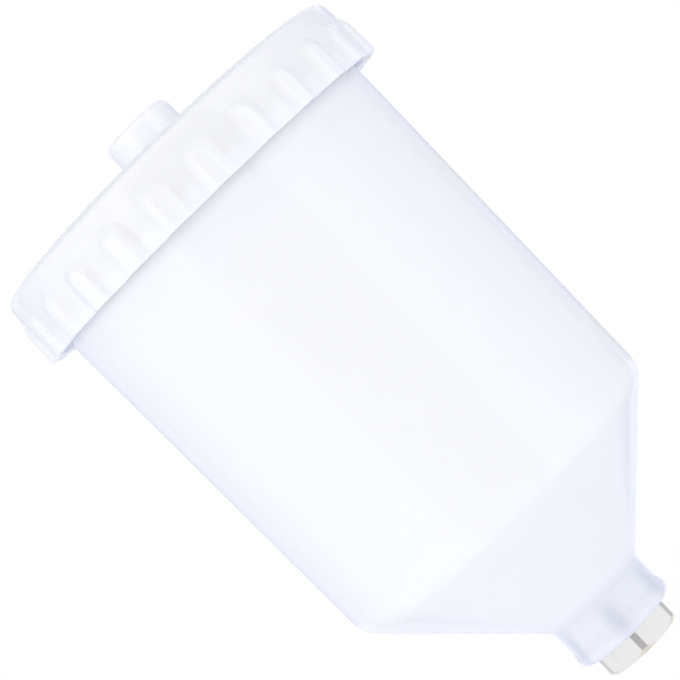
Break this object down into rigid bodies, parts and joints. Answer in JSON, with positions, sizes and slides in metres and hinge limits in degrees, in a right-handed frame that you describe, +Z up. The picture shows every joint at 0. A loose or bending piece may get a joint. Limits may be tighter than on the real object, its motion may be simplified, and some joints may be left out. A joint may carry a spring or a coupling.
{
  "type": "gravity-feed paint cup with lid",
  "caption": "Translucent funnel-bottomed paint cup with a threaded metal insert in its neck, a ribbed screw lid and a small vent cap.",
  "frame": {"origin": "mouth of the threaded hole, on the cup's axis, at the insert's lower face", "axes": "+Z runs up the cup's axis towards the lid, and -Y faces the viewer of the front"},
  "size_m": [0.0986, 0.0986, 0.1607],
  "materials": {
    "cup_plastic": "milky translucent moulded plastic with a soft satin gloss",
    "lid_plastic": "milky translucent moulded plastic, satin",
    "cap_plastic": "milky translucent moulded plastic, satin",
    "insert_metal": "machined and bright",
    "gasket_foam": "matte soft white",
    "seal_nylon": "matte off-white"
  },
  "bodies": {
    "cup": {"cup_body": "cup_plastic", "threaded_insert": "insert_metal", "neck_seal": "seal_nylon"},
    "gasket": {"lid_gasket": "gasket_foam"},
    "screw_lid": {"lid": "lid_plastic"},
    "baffle": {"vent_baffle": "seal_nylon"},
    "cap": {"vent_cap": "cap_plastic"}
  },
  "joints": [
    {"name": "lid_rise", "type": "slide", "parent": "cup", "child": "gasket", "axis": [0, 0, 1], "range_m": [0, 0.006]},
    {"name": "lid_turn", "type": "hinge", "parent": "gasket", "child": "screw_lid", "pos_m": [0, 0, 0.1501], "axis": [0, 0, 1], "range_deg": [0, 540]},
    {"name": "vent_pull", "type": "slide", "parent": "screw_lid", "child": "baffle", "axis": [0, 0, 1], "range_m": [0, 0.012]},
    {"name": "vent_turn", "type": "hinge", "parent": "baffle", "child": "cap", "pos_m": [0, 0, 0.158], "axis": [0, 0, 1], "continuous": true}
  ],
  "couplings": [
    {"joint": "lid_rise", "follows": "lid_turn", "m_per_rad": 0.00063662}
  ]
}
